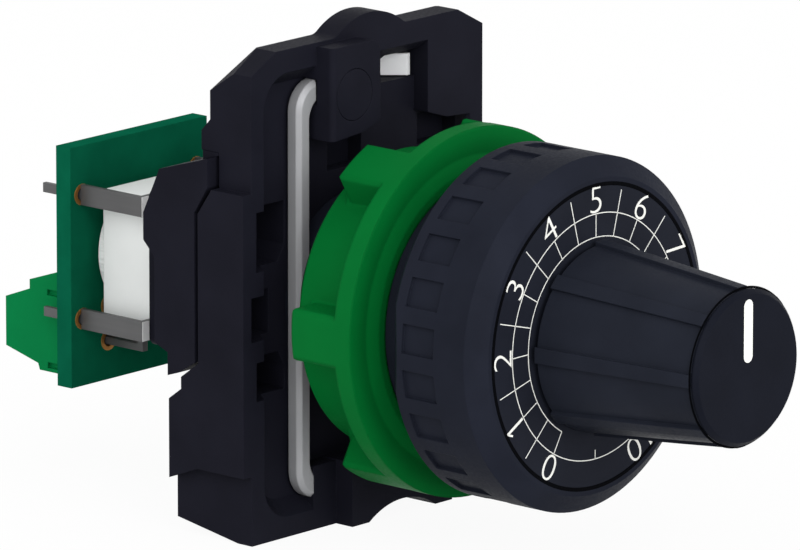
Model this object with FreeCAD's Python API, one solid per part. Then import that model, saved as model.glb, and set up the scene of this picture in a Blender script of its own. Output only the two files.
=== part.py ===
import FreeCAD, Part
import math
import os

# Panel potentiometer for a 22 mm hole, in millimetres.
# The origin is on the knob's axis in the plane where the bezel meets the panel.
# +Y runs back through the panel, +Z is up and +X is to the right seen from the front.

V = FreeCAD.Vector

# Fits
running_fit = 0.05
slide_fit = 0.10
seat_fit = 0.02
# How far a cutter runs past what it cuts, and how far one form sinks into another
past = 1.0
sink = 0.5

# Control shaft and knob
shaft_r = 3.0
knob_gap = 0.5
knob_length = 14.8
knob_base_r = 8.0
knob_mid_r = 7.15
knob_tip_r = 6.55
knob_mid_share = 0.6
knob_lands = 8
knob_land_angle = 9.5
knob_flute_depth = 0.35
knob_wall = 1.5
knob_skirt_depth = 4.0
knob_turn_each_way = 150.0

cap_r = 6.33
cap_thickness = 0.5
cap_edge = 0.35
cap_groove = 0.15
cap_groove_depth = 0.4
cap_skirt_r = 5.3
cap_skirt_wall = 0.8
cap_skirt_depth = 1.4

pointer_width = 1.07
pointer_inner_z = 0.46
pointer_outer_z = 5.6
pointer_depth = 0.35

collet_r = 4.0
collet_length = 7.0
collet_thread_r = 3.6
collet_thread_length = 2.3
collet_slot = 0.6
collet_slots = 4
collet_nut_across = 8.0
collet_nut_thickness = 2.0
nut_well_r = 5.35

# Head: bezel, neck and tail in one moulding
bezel_r = 14.5
bezel_depth = 9.5
bezel_face_r = 12.95
bezel_edge_depth = 1.25
bezel_rear_chamfer = 0.7
bezel_flat_x = 13.35
grip_pockets = 24
grip_pocket_angle = 9.5
grip_pocket_front = 5.0
grip_pocket_back = 1.65
grip_pocket_depth = 0.28
dial_r = 12.4
dial_thickness = 0.8
dial_bore_r = 5.3
neck_r = 11.0
neck_length = 12.4
neck_edge = 0.5
head_wall = 1.6
core_depth = 17.0
core_wall = 2.0
core_ribs = 4
rib_thickness = 1.2
sleeve_r = 5.2
tail_r = 8.2
tail_length = 4.7
tail_bore_r = 4.2
sleeve_bearing_length = 9.0

seal_groove_from_front = 5.0
seal_section_r = 0.9
panel_seal_inner_r = 11.6
panel_seal_outer_r = 12.8
panel_seal_depth = 0.8
panel_seal_sink = 0.05

# Fixing nut
nut_front = 3.12
nut_bore_fit = 0.08
nut_lip_r = 11.83
nut_valley_r = 12.9
nut_valley_depth = 0.44
nut_rim_drop = 0.14
nut_rim_r = 15.2
nut_flange = 1.83
nut_hub_r = 12.3
nut_length = 8.55
nut_rear_chamfer = 0.4
nut_lobes = 6
nut_lobe_turn = 29.2
nut_lobe_width = 4.28
nut_lobe_length = 5.1
nut_lobe_corner = 0.6
nut_lobe_edge = 0.3
nut_lobe_fillet = 0.8

# Spring frame of square wire
wire = 1.56
frame_half_width = 8.3
frame_top = 18.4
frame_bottom = -16.35
frame_corner_r = 2.5
frame_right_top = 9.5
wire_edge = 0.35
wire_fit = 0.05

# Fixing collar
rim_gap = 2.55
collar_half_width = 14.0
band_half_width = 15.0
band_top = 10.3
band_bottom = -13.1
band_bend_depth = 5.15
band_foot_bottom = -14.3
collar_top = 21.5
collar_bottom = -18.9
collar_top_land = 2.35
collar_top_corner_x = 11.0
collar_top_corner_z = 19.9
collar_bevel_top_depth = 2.15
collar_bevel_side_depth = 1.87
collar_back_top = 18.2
collar_back_depth = 4.45
collar_mid_depth = 4.95
collar_foot_top = -6.7
collar_foot_depth = 8.2
collar_foot_neck = 1.35
collar_foot_bottom = -17.75
collar_foot_flat = 1.55
collar_ledge_z = 15.8
collar_ledge_depth = 5.4
collar_step = 1.0
hump_r = 6.5
hump_x = 0.3
hump_z = 16.5
hump_foot_r = 1.2
pocket_half_width = 12.5
pocket_top = 19.6
pocket_bottom = -17.2
pocket_corner_r = 3.0
pocket_slope = 1.2
window_depth = 3.0
window_outer_x = 13.4
window_inner_x = 8.4
window_upper_top = 8.65
window_upper_bottom = 3.7
window_middle_top = 1.7
window_middle_bottom = -2.0
window_middle_inner_x = 10.3
window_lower_top = -3.75
window_lower_bottom = -6.97
window_slant = 0.8
window_slant_height = 1.3
flank_notch_top = 12.5
flank_notch_bottom = 10.5
flank_notch_inner_x = 11.0
flank_notch_lip = 0.35
socket_inner_x = 7.7
socket_outer_x = 12.4
socket_top = 13.2
socket_depth = 1.45
slot_left_x = -3.2
slot_right_x = 0.9
slot_bottom = 10.15
latch_window_left_x = 3.2
latch_window_bottom = 16.4
latch_window_top = 18.75
latch_window_depth = 2.8

# Screw block, pillar and lugs on the collar's front
block_left_x = -6.2
block_right_x = -0.5
block_top = 21.2
block_bottom = 13.5
block_slope_x = -2.5
block_slope = 0.3
block_corner_rise = 0.9
block_top_r = 1.0
block_edge_r = 0.5
block_proud = 1.8
pillar_left_x = 7.3
pillar_bend_x = 9.6
pillar_left_bottom = 13.55
pillar_bend_z = 12.8
pillar_bottom = 12.5
lug_left_x = -3.9
lug_right_x = 8.3
lug_top = -13.5
lug_proud = 1.8
arch_r = 7.2
arch_top = -17.65
pad_left_x = -6.6
pad_top = -13.6
pad_thickness = 0.4

clamp_screw_x = -3.6
clamp_screw_z = 17.05
clamp_foot_r = 2.1
clamp_foot_length = 3.3
clamp_screw_r = 1.5
clamp_screw_length = 3.6
clamp_tip_r = 0.9
clamp_tip_length = 1.6
clamp_slot_width = 0.5
clamp_slot_depth = 0.8

# Latch spring: a steel strip bent across the opening beside the pillar
latch_bottom = 16.5
latch_top = 18.3
latch_thickness = 0.45
latch_bend_x = 5.0
latch_rise_x = 6.6
latch_right_x = 6.95
latch_foot_depth = 2.3
latch_bend_depth = 1.9
latch_tip_depth = 0.1

# Carrier behind the collar
carrier_half_width = band_half_width
carrier_slot = 0.4
carrier_top = 12.8
carrier_nose_depth = 1.45
carrier_nose_bottom = 10.4
carrier_shoulder_z = 11.2
carrier_shoulder_depth = 3.8
carrier_beak_top = 7.3
carrier_beak_bottom = 5.05
carrier_beak_depth = 5.6
carrier_cheek_top = 3.85
carrier_cheek_bottom = -3.3
carrier_cheek_depth = 4.4
carrier_foot_depth = 2.97
carrier_foot_chamfer = 1.2
carrier_bottom = -5.8
carrier_seat_top = 8.1
carrier_seat_bottom = -4.3
carrier_arm_width = 3.2
carrier_wall = 2.0
tower_half_width = 6.2
tower_half_height = 6.6
tower_length = 13.2
tower_corner_r = 0.8
seat_half_width = 11.0

# Potentiometer
pot_half = 5.6
pot_blade_gap = 0.4
pot_depth = 5.3
pot_edge = 0.6
pot_wall = 0.9
pot_boss_r = 5.2
pot_boss_height = 0.6
bush_r = 4.0
bush_length = 5.6
bush_flange_r = 5.0
bush_flange = 0.6
pot_nut_across = 9.0
pot_nut_thickness = 2.0
washer_r = 5.0
washer_thickness = 0.6
bush_plate = 2.0
track_r = 4.3
track_thickness = 0.5
rotor_r = 4.2
rotor_thickness = 1.2
wiper_r = 3.6
wiper_width = 1.4
wiper_thickness = 0.3
pin_pitch = 3.81
pot_pin_z = -7.65
pot_pin_half = 0.3

# Circuit board and its blades
board_gap = 1.2
board_thickness = 1.6
board_half_width = 8.25
board_top = 9.3
board_bottom = -11.0
blade_x = 6.9
blade_upper_z = 5.2
blade_lower_z = -5.3
blade_height = 1.7
blade_thickness = 0.4
blade_tab = 1.5
blade_tail_height = 0.8
blade_tail_length = 2.6
ring_r = 0.9
ring_hole_r = 0.55
ring_foil = 0.05
ring_sides = 16

# Terminal block
poles = 3
terminal_half_width = 5.86
terminal_height = 8.15
terminal_top = -1.4
terminal_shoulder_z = -3.25
terminal_shoulder_height = 5.4
terminal_step_z = -4.05
terminal_face_top = -5.1
terminal_face_bottom = -9.3
terminal_toe_z = -10.25
terminal_toe_height = 4.5
terminal_bottom = -10.8
terminal_ledge_height = 4.3
screw_z = -7.2
screw_head_r = 1.35
screw_head_height = 0.7
screw_head_sink = 0.25
screw_shank_r = 0.9
screw_slot_width = 0.4
screw_slot_depth = 0.3
shoulder_web = 0.5
cage_half_width = 1.4
cage_wall = 0.4
cage_height = 3.6
cage_length = 3.4
cage_floor = 1.2
cage_travel = 1.7
bar_half_width = 0.75
bar_thickness = 0.4
bar_tip_gap = 0.1
entry_half_width = 1.0
entry_height = 1.8
pin_z = -4.7
pin_half = 0.34
side_slot_depth = 0.3
side_slot_height = 0.5
side_slot_length = 2.9

# Places that follow from the sizes, along Y
dial_y = -bezel_depth
knob_rear_y = dial_y - knob_gap
knob_front_y = knob_rear_y - knob_length
cap_rear_y = knob_front_y - cap_groove
cap_front_y = cap_rear_y - cap_thickness
rim_y = neck_length + rim_gap
floor_y = rim_y + wire
tail_end_y = rim_y + tail_length
carrier_y = rim_y + collar_mid_depth + carrier_slot
tower_y = carrier_y + tower_length
pot_y = tower_y + pot_blade_gap
board_y = pot_y + pot_depth + board_gap
board_rear_y = board_y + board_thickness
terminal_rear_y = board_rear_y + terminal_height


def box(x0, x1, y0, y1, z0, z1):
    """A block between two corners."""
    return Part.makeBox(x1 - x0, y1 - y0, z1 - z0, V(x0, y0, z0))


def rod(radius, y0, y1, x=0.0, z=0.0):
    """A cylinder along Y."""
    return Part.makeCylinder(radius, y1 - y0, V(x, y0, z), V(0, 1, 0))


def tube(outer, inner, y0, y1, x=0.0, z=0.0):
    """A hollow cylinder along Y."""
    return rod(outer, y0, y1, x, z).cut(rod(inner, y0 - past, y1 + past, x, z))


def turned(profile):
    """A solid turned about the Y axis from (radius, y) points."""
    points = [V(r, y, 0) for r, y in profile]
    face = Part.Face(Part.makePolygon(points + points[:1]))
    return face.revolve(V(0, 0, 0), V(0, 1, 0), 360)


def side_prism(outline, x0, x1):
    """An outline of (y, z) points, extruded along X."""
    points = [V(x0, y, z) for y, z in outline]
    face = Part.Face(Part.makePolygon(points + points[:1]))
    return face.extrude(V(x1 - x0, 0, 0))


def front_prism(outline, y0, y1):
    """An outline of (x, z) points, extruded along Y."""
    points = [V(x, y0, z) for x, z in outline]
    face = Part.Face(Part.makePolygon(points + points[:1]))
    return face.extrude(V(0, y1 - y0, 0))


def top_prism(outline, z0, z1):
    """An outline of (x, y) points, extruded along Z."""
    points = [V(x, y, z0) for x, y in outline]
    face = Part.Face(Part.makePolygon(points + points[:1]))
    return face.extrude(V(0, 0, z1 - z0))


def half_space(a, b, c, reach):
    """A thick disc on the upper side of the plane through three points."""
    normal = (b - a).cross(c - a)
    if normal.z < 0:
        normal = -normal
    return Part.makeCylinder(reach, reach, a, normal)


def rounded_block(x0, x1, y0, y1, z0, z1, radius):
    """A block whose four edges along Y are rounded."""
    body = box(x0, x1, y0, y1, z0, z1)
    return body.makeFillet(radius, edges_along(body, V(0, 1, 0)))


def edges_along(shape, direction):
    """The straight edges of a shape that run along a direction."""
    straight = [edge for edge in shape.Edges if isinstance(edge.Curve, Part.Line)]
    return [edge for edge in straight if edge.tangentAt(edge.FirstParameter).cross(direction).Length < 1e-6]


def around(shape, degrees):
    """A copy of a shape turned about the Y axis."""
    copy = shape.copy()
    copy.rotate(V(0, 0, 0), V(0, 1, 0), degrees)
    return copy


def mirrored(shape):
    """A copy of a shape on the other side of the YZ plane."""
    return shape.mirror(V(0, 0, 0), V(1, 0, 0))


def sector(angle, reach, y0, y1):
    """A wedge about the +Z direction, as wide as an angle."""
    half = math.radians(angle) / 2
    outline = [(0, 0), (-reach * math.tan(half), reach), (reach * math.tan(half), reach)]
    return front_prism(outline, y0, y1)


def hexagon(across, y0, y1):
    """A hexagonal prism about the Y axis."""
    corner = across / math.sqrt(3)
    turns = [math.radians(60 * k) for k in range(6)]
    return front_prism([(corner * math.sin(turn), corner * math.cos(turn)) for turn in turns], y0, y1)


def knob_profile(inset):
    """The knob's tapered outline, drawn in by a depth."""
    mid_y = knob_rear_y - knob_length * knob_mid_share
    return [(0, knob_rear_y), (knob_base_r - inset, knob_rear_y), (knob_mid_r - inset, mid_y),
            (knob_tip_r - inset, knob_front_y), (0, knob_front_y)]


def collet_rear_y():
    """Where the collet starts, just inside the knob's skirt."""
    return knob_rear_y - knob_skirt_depth


def nut_well_y():
    """The floor of the well that holds the collet nut."""
    return collet_rear_y() - collet_length


def knob_body():
    """Tapered knob with raised lands, an open skirt and a bored hub."""
    core = turned(knob_profile(knob_flute_depth))
    outer = turned(knob_profile(0))
    wedge = sector(knob_land_angle, knob_base_r * 2, knob_front_y, knob_rear_y)
    lands = [outer.common(around(wedge, k * 360.0 / knob_lands)) for k in range(knob_lands)]
    body = core.multiFuse(lands)
    skirt = rod(knob_base_r - knob_wall - knob_flute_depth, collet_rear_y(), knob_rear_y + past)
    well = rod(nut_well_r, knob_front_y - past, nut_well_y())
    bore = rod(collet_r, knob_front_y, knob_rear_y)
    return body.cut(skirt).cut(well).cut(bore).removeSplitter()


def knob_cap():
    """Round cap with a chamfered rim, a groove behind it and a snap skirt."""
    disc = turned([(0, cap_front_y), (cap_r - cap_edge, cap_front_y), (cap_r, cap_front_y + cap_edge),
                   (cap_r, cap_rear_y), (0, cap_rear_y)])
    neck = rod(cap_r - cap_groove_depth, cap_rear_y, knob_front_y)
    skirt = tube(cap_skirt_r, cap_skirt_r - cap_skirt_wall, knob_front_y, knob_front_y + cap_skirt_depth)
    return disc.fuse(neck).fuse(skirt).cut(pointer_inlay()).removeSplitter()


def pointer_inlay():
    """White bar with round ends, set into the cap."""
    half = pointer_width / 2
    y1 = cap_front_y + pointer_depth
    bar = box(-half, half, cap_front_y, y1, pointer_inner_z + half, pointer_outer_z - half)
    low = rod(half, cap_front_y, y1, 0, pointer_inner_z + half)
    high = rod(half, cap_front_y, y1, 0, pointer_outer_z - half)
    return bar.fuse(low).fuse(high).removeSplitter()


def collet():
    """Brass bush on the shaft, with a slotted thread for its nut."""
    front_y = nut_well_y() - collet_thread_length
    body = rod(collet_r, nut_well_y(), collet_rear_y()).fuse(rod(collet_thread_r, front_y, nut_well_y()))
    body = body.cut(rod(shaft_r, front_y - past, collet_rear_y() + past))
    slot = box(-collet_slot / 2, collet_slot / 2, front_y - past, nut_well_y() + collet_thread_length,
               0, collet_r * 2)
    for k in range(collet_slots):
        body = body.cut(around(slot, k * 360.0 / collet_slots))
    return body.removeSplitter()


def collet_nut():
    """Hexagon nut that closes the collet."""
    y0 = nut_well_y() - collet_nut_thickness
    body = hexagon(collet_nut_across, y0, nut_well_y())
    return body.cut(rod(collet_thread_r, y0 - past, nut_well_y() + past))


def control_shaft():
    """Long shaft from the collet to the wiper in the potentiometer."""
    front_y = nut_well_y() - collet_thread_length
    shaft = rod(shaft_r, front_y, pot_rotor_y())
    return shaft.makeChamfer(shaft_r / 10, [shaft.Edges[0]]).removeSplitter()


def dial_plate():
    """Flat disc that carries the scale."""
    return tube(dial_r, dial_bore_r, dial_y, dial_y + dial_thickness)


def head_body():
    """Bezel, neck and tail in one moulding."""
    edge_y = dial_y + bezel_edge_depth
    tail_y = tail_end_y
    outline = [(0, dial_y), (bezel_face_r, dial_y), (bezel_r, edge_y), (bezel_r, -bezel_rear_chamfer),
               (bezel_r - bezel_rear_chamfer, 0), (neck_r, 0), (neck_r, neck_length - neck_edge),
               (neck_r - neck_edge, neck_length), (tail_r, neck_length), (tail_r, tail_y), (0, tail_y)]
    body = turned(outline)
    body = body.cut(rod(dial_r + running_fit, dial_y - past, dial_y + dial_thickness))
    body = body.cut(head_core())
    body = body.cut(rod(shaft_r + running_fit, dial_y - past, tail_y + past))
    body = body.cut(rod(tail_bore_r, dial_y + dial_thickness + sleeve_bearing_length, tail_y + past))
    body = body.cut(tube(panel_seal_outer_r, panel_seal_inner_r, -panel_seal_depth, 1))
    body = body.cut(seal_groove())
    body = body.cut(flat_cutter(1)).cut(flat_cutter(-1))
    body = body.cut(Part.makeCompound(grip_pocket_cutters()))
    return body.cut(frame_legs(wire_fit)).removeSplitter()


def head_core():
    """The moulding's core behind the dial: a ring hollow with ribs across it."""
    y0 = dial_y + dial_thickness
    hollow = tube(neck_r - head_wall, sleeve_r, y0 - seat_fit, y0 + core_depth)
    for k in range(core_ribs):
        rib = box(-rib_thickness / 2, rib_thickness / 2, y0 + core_wall, y0 + core_depth + past, 0, neck_r)
        hollow = hollow.cut(around(rib, 45 + k * 360.0 / core_ribs))
    return hollow


def flat_cutter(side):
    """The slanted flat on the left or right of the bezel's rear edge."""
    reach = bezel_r * 2
    corner = [(bezel_flat_x, 0), (bezel_flat_x + reach, -reach), (bezel_flat_x + reach, 0)]
    return top_prism([(side * x, y) for x, y in corner], -bezel_r, bezel_r)


def grip_pocket_cutters():
    """Shallow pockets round the bezel."""
    ring = tube(bezel_r + past, bezel_r - grip_pocket_depth, -grip_pocket_front, -grip_pocket_back)
    wedge = sector(grip_pocket_angle, bezel_r * 2, -grip_pocket_front, -grip_pocket_back)
    pocket = ring.common(wedge)
    pitch = 360.0 / grip_pockets
    return [around(pocket, k * pitch + grip_pocket_angle / 2) for k in range(grip_pockets)]


def seal_middle_y():
    """Where the shaft's seal sits along the sleeve."""
    return dial_y + dial_thickness + seal_groove_from_front


def seal_groove():
    """The square groove round the shaft that holds the seal."""
    y = seal_middle_y()
    half = seal_section_r + seat_fit
    return rod(shaft_r + running_fit + seal_section_r * 2, y - half, y + half)


def shaft_seal():
    """Ring in the groove of the shaft's sleeve, its section an octagon with flats on the groove's walls."""
    middle_r = shaft_r + running_fit + seal_section_r
    half_step = math.pi / 8
    reach = (seal_section_r - seat_fit) / math.cos(half_step)
    turns = [half_step * (2 * k + 1) for k in range(8)]
    middle_y = seal_middle_y()
    return turned([(middle_r + reach * math.cos(turn), middle_y + reach * math.sin(turn)) for turn in turns])


def panel_seal():
    """Flat ring in the bezel's rear face."""
    return tube(panel_seal_outer_r, panel_seal_inner_r, -panel_seal_depth, -panel_seal_sink)


def fixing_nut():
    """Flanged nut on the neck with a ring of grip lobes."""
    bore = neck_r + nut_bore_fit
    rear_y = nut_front + nut_length
    flange_y = nut_front + nut_flange
    outline = [(bore, nut_front), (nut_lip_r, nut_front), (nut_valley_r, nut_front + nut_valley_depth),
               (nut_rim_r, nut_front + nut_rim_drop), (nut_rim_r, flange_y), (nut_hub_r, flange_y),
               (nut_hub_r, rear_y - nut_rear_chamfer), (nut_hub_r - nut_rear_chamfer, rear_y), (bore, rear_y)]
    body = turned(outline)
    lobes = [around(nut_lobe(), nut_lobe_turn + k * 360.0 / nut_lobes) for k in range(nut_lobes)]
    return body.multiFuse(lobes).removeSplitter()


def nut_lobe():
    """One grip lobe, flush with the flange and flared where it meets the hub."""
    half = nut_lobe_width / 2
    flange_y = nut_front + nut_flange
    rear_y = flange_y + nut_lobe_length
    foot = nut_hub_r * math.cos(math.asin((half + nut_lobe_fillet) / nut_hub_r)) - sink
    root = foot + nut_lobe_fillet
    outline = [(-half - nut_lobe_fillet, foot), (-half, root), (-half, nut_rim_r + past),
               (half, nut_rim_r + past), (half, root), (half + nut_lobe_fillet, foot)]
    lobe = front_prism(outline, flange_y - nut_flange / 2, rear_y)
    lobe = lobe.common(rod(nut_rim_r, flange_y - nut_flange, rear_y))
    rear = [edge for edge in lobe.Edges
            if abs(edge.BoundBox.YMin - rear_y) < seat_fit and edge.CenterOfMass.z > root + nut_lobe_fillet]
    lobe = lobe.makeChamfer(nut_lobe_corner, rear)
    crest_z = math.sqrt(nut_rim_r ** 2 - half ** 2)
    sides = [edge for edge in edges_along(lobe, V(0, 1, 0)) if abs(edge.CenterOfMass.z - crest_z) < seat_fit]
    return lobe.makeChamfer(nut_lobe_edge, sides)


def frame_loop(fit, y0, y1):
    """The frame, grown by a fit, between two depths: open from the screw block to the right leg."""
    outer = rounded_block(-frame_half_width - fit, frame_half_width + fit, y0, y1,
                          frame_bottom - fit, frame_top + fit, frame_corner_r)
    inner = rounded_block(-frame_half_width + wire + fit, frame_half_width - wire - fit, y0 - past, y1 + past,
                          frame_bottom + wire + fit, frame_top - wire - fit, frame_corner_r - wire / 2)
    stub_x = clamp_screw_x - clamp_foot_r - slide_fit * 2 + fit
    opening = box(stub_x, frame_half_width + past, y0 - past, y1 + past,
                  frame_right_top + fit, frame_top + past)
    flat = box(pad_left_x - fit, lug_left_x + sink - fit, y0 - past, rim_y + pad_thickness - fit,
               frame_bottom - past, frame_bottom + wire + past)
    return outer.cut(inner).cut(opening).cut(flat)


def spring_frame():
    """Square-wire frame with one end in the screw block, flattened where the pad covers it."""
    frame = frame_loop(0, rim_y, floor_y)
    return frame.makeChamfer(wire_edge, long_edges(frame, wire)).removeSplitter()


def long_edges(shape, width):
    """The edges that run along a wire, leaving out the ones round its ends."""
    flat = [edge for edge in shape.Edges if edge.BoundBox.YLength < seat_fit]
    return [edge for edge in flat if edge.Length > width * (1 + seat_fit) and edge.BoundBox.ZMax > pad_top]


def frame_legs(fit):
    """Room for the frame's two upright legs in the tail."""
    inner = frame_half_width - wire - fit
    leg = box(inner, frame_half_width + fit, rim_y, floor_y + fit, -tail_r, tail_r)
    return leg.fuse(mirrored(leg))


def frame_room():
    """Room for the frame's wire where the collar bridges it."""
    return frame_loop(wire_fit, rim_y - wire_fit, floor_y)


def collar_outline():
    """The collar's side outline, from its front face to its stepped back."""
    back_y = rim_y + collar_back_depth
    mid_y = rim_y + collar_mid_depth
    ledge_y = rim_y + collar_ledge_depth
    foot_y = rim_y + collar_foot_depth
    nose_y = carrier_y - carrier_nose_depth - carrier_slot
    return [(rim_y, collar_bottom), (rim_y + collar_foot_flat, collar_bottom), (foot_y, collar_foot_bottom),
            (foot_y, collar_foot_top - collar_step), (foot_y - collar_foot_neck, collar_foot_top),
            (foot_y - collar_foot_neck, collar_foot_top + collar_step), (mid_y, carrier_seat_bottom),
            (mid_y, carrier_seat_top), (nose_y, carrier_nose_bottom - carrier_slot / 2),
            (nose_y, carrier_top + carrier_slot), (ledge_y, carrier_top + carrier_slot),
            (ledge_y, collar_ledge_z - collar_step), (back_y, collar_ledge_z), (back_y, collar_back_top),
            (rim_y + collar_top_land, collar_top), (rim_y, collar_top)]


def collar_shell():
    """The collar's outer block with its wider middle band and the hump on top."""
    body = side_prism(collar_outline(), -collar_half_width, collar_half_width)
    band = side_prism(collar_outline(), -band_half_width, band_half_width)
    foot_y = rim_y + collar_foot_depth
    kept = [(rim_y, band_top), (foot_y, band_top), (foot_y, band_foot_bottom),
            (rim_y + band_bend_depth, band_bottom), (rim_y, band_bottom)]
    band = band.common(side_prism(kept, -band_half_width, band_half_width))
    corner = collar_corner()
    return body.cut(corner).cut(mirrored(corner)).fuse(band).fuse(hump())


def collar_corner():
    """What the collar's upper right corner loses: a front slant and a bevel behind it."""
    slant = [(collar_top_corner_x, collar_top), (collar_half_width + past, collar_top + past),
             (collar_half_width, collar_top_corner_z)]
    a = V(collar_half_width, rim_y + collar_bevel_side_depth, collar_top_corner_z)
    b = V(collar_half_width, rim_y + collar_back_depth, collar_back_top)
    c = V(collar_top_corner_x, rim_y + collar_bevel_top_depth, collar_top)
    bevel = half_space(a, b, c, collar_half_width - pillar_left_x)
    return bevel.fuse(front_prism(slant, rim_y - past, rim_y + collar_back_depth))


def hump():
    """Rounded hump on the collar's top land, with a fillet at each foot."""
    top_y = rim_y + collar_top_land
    left_x = hump_x - hump_r
    right_x = hump_x + hump_r
    crest = rod(hump_r, rim_y, top_y, hump_x, hump_z)
    crest = crest.common(box(left_x, right_x, rim_y, top_y, collar_top - sink, hump_z + hump_r))
    body = crest.fuse(box(left_x, right_x, rim_y, top_y, collar_top - sink * 2, collar_top))
    inside = [edge for edge in edges_along(body, V(0, 1, 0))
              if left_x + sink < edge.CenterOfMass.x < right_x - sink]
    feet = [edge for edge in inside if abs(edge.CenterOfMass.z - collar_top) < seat_fit]
    return body.makeFillet(hump_foot_r, feet)


def collar_pocket():
    """The shallow recess in the collar's front, its wall sloping in to the floor."""
    mouth = pocket_wire(0, rim_y)
    floor = pocket_wire(pocket_slope, floor_y)
    return Part.makeLoft([mouth, floor], True, True)


def pocket_wire(inset, y):
    """The recess's rounded outline, drawn in by an inset, at one depth."""
    block = rounded_block(-pocket_half_width + inset, pocket_half_width - inset, y, y + past,
                          pocket_bottom + inset, pocket_top - inset, pocket_corner_r - inset)
    front = min(block.Faces, key=lambda face: face.CenterOfMass.y)
    return front.OuterWire


def window_cutters():
    """Three recesses beside the frame, the outer two with a slanted corner."""
    y0 = rim_y - past
    y1 = floor_y + window_depth
    slant_x = window_inner_x + window_slant
    upper = [(window_outer_x, window_upper_top), (window_inner_x, window_upper_top),
             (window_inner_x, window_upper_bottom + window_slant_height), (slant_x, window_upper_bottom),
             (window_outer_x, window_upper_bottom)]
    lower = [(window_outer_x, window_lower_bottom), (window_inner_x, window_lower_bottom),
             (window_inner_x, window_lower_top - window_slant_height), (slant_x, window_lower_top),
             (window_outer_x, window_lower_top)]
    middle = box(window_middle_inner_x, collar_half_width, y0, y1, window_middle_bottom, window_middle_top)
    right = front_prism(upper, y0, y1).fuse(front_prism(lower, y0, y1)).fuse(middle)
    return right.fuse(mirrored(right))


def flank_notch():
    """The opening from the recess out through the right flank."""
    return box(flank_notch_inner_x, band_half_width + past, rim_y + flank_notch_lip, floor_y,
               flank_notch_bottom, flank_notch_top)


def floor_openings():
    """The socket under the pillar, the slot under the screw block and the latch spring's opening."""
    y0 = floor_y - sink
    socket = box(socket_inner_x, socket_outer_x, y0, floor_y + socket_depth, flank_notch_bottom, socket_top)
    slot = box(slot_left_x, slot_right_x, y0, floor_y + socket_depth, slot_bottom, socket_top)
    latch = box(latch_window_left_x, pillar_left_x, y0, floor_y + latch_window_depth,
                latch_window_bottom, latch_window_top)
    return socket.fuse(slot).fuse(latch)


def screw_block():
    """Block that bridges the frame and guides the clamp foot."""
    outline = [(block_left_x, block_top), (block_left_x, block_bottom),
               (block_slope_x, block_bottom + block_slope),
               (block_right_x, block_bottom + block_corner_rise), (block_right_x, block_top)]
    block = front_prism(outline, clamp_front_y(), floor_y + sink)
    corner = [edge for edge in edges_along(block, V(0, 1, 0))
              if edge.CenterOfMass.x > block_slope_x and edge.CenterOfMass.z > clamp_screw_z]
    block = block.makeFillet(block_top_r, corner)
    left = [edge for edge in edges_along(block, V(0, 0, 1))
            if edge.CenterOfMass.x < block_slope_x and edge.CenterOfMass.y < rim_y]
    return block.makeFillet(block_edge_r, left)


def pillar():
    """Solid corner pillar at the upper right of the front."""
    outline = [(pillar_left_x, pillar_left_bottom), (pillar_bend_x, pillar_bend_z),
               (collar_half_width, pillar_bottom), (collar_half_width, collar_top_corner_z),
               (collar_top_corner_x, collar_top - sink),
               (pillar_left_x, collar_top - sink)]
    return front_prism(outline, rim_y, floor_y + sink)


def foot_lugs():
    """Two lugs with a round arch between them, and a thin pad over the frame beside them."""
    lugs = box(lug_left_x, lug_right_x, rim_y - lug_proud, floor_y + sink, collar_bottom, lug_top)
    pad = box(pad_left_x, lug_left_x, rim_y, floor_y + sink, collar_bottom, pad_top)
    return lugs.fuse(pad)


def foot_arch():
    """The round cut between the lugs."""
    return rod(arch_r, rim_y - lug_proud - past, rim_y + collar_foot_flat,
               (lug_left_x + lug_right_x) / 2, arch_top - arch_r)


def clamp_front_y():
    """Front face of the screw block."""
    return rim_y - block_proud


def collar_body():
    """Fixing collar behind the panel."""
    front_y = clamp_front_y() - past
    rear_y = rim_y + collar_foot_depth + past
    guide_end = clamp_front_y() + clamp_foot_length + slide_fit
    body = collar_shell().cut(collar_pocket())
    body = body.multiFuse([screw_block(), pillar(), foot_lugs()])
    body = body.cut(foot_arch()).cut(frame_room())
    body = body.cut(rod(tail_r + running_fit, front_y, rear_y))
    body = body.cut(window_cutters()).cut(flank_notch()).cut(floor_openings())
    guide = rod(clamp_foot_r + running_fit, front_y, guide_end, clamp_screw_x, clamp_screw_z)
    thread = rod(clamp_screw_r + running_fit, guide_end - past, rear_y, clamp_screw_x, clamp_screw_z)
    return body.cut(guide).cut(thread).removeSplitter()


def latch_spring():
    """Bent steel strip that lies across its opening and ends beside the pillar."""
    left_x = latch_window_left_x + slide_fit
    path = [(left_x, latch_foot_depth), (latch_bend_x, latch_bend_depth), (latch_rise_x, latch_tip_depth),
            (latch_right_x, latch_tip_depth)]
    front = [(x, floor_y + depth) for x, depth in path]
    rear = [(x, y + latch_thickness) for x, y in reversed(front)]
    return top_prism(front + rear, latch_bottom, latch_top)


def clamp_foot():
    """Round foot that the clamp screw pushes towards the panel."""
    y0 = clamp_front_y()
    foot = rod(clamp_foot_r, y0, y0 + clamp_foot_length, clamp_screw_x, clamp_screw_z)
    foot = foot.makeChamfer(clamp_foot_r / 10, [edge for edge in foot.Edges if edge.Closed][:1])
    y1 = y0 + clamp_foot_length
    socket_y = y1 - clamp_tip_length - slide_fit
    return foot.cut(rod(clamp_tip_r + running_fit, socket_y, y1 + past, clamp_screw_x, clamp_screw_z))


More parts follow.
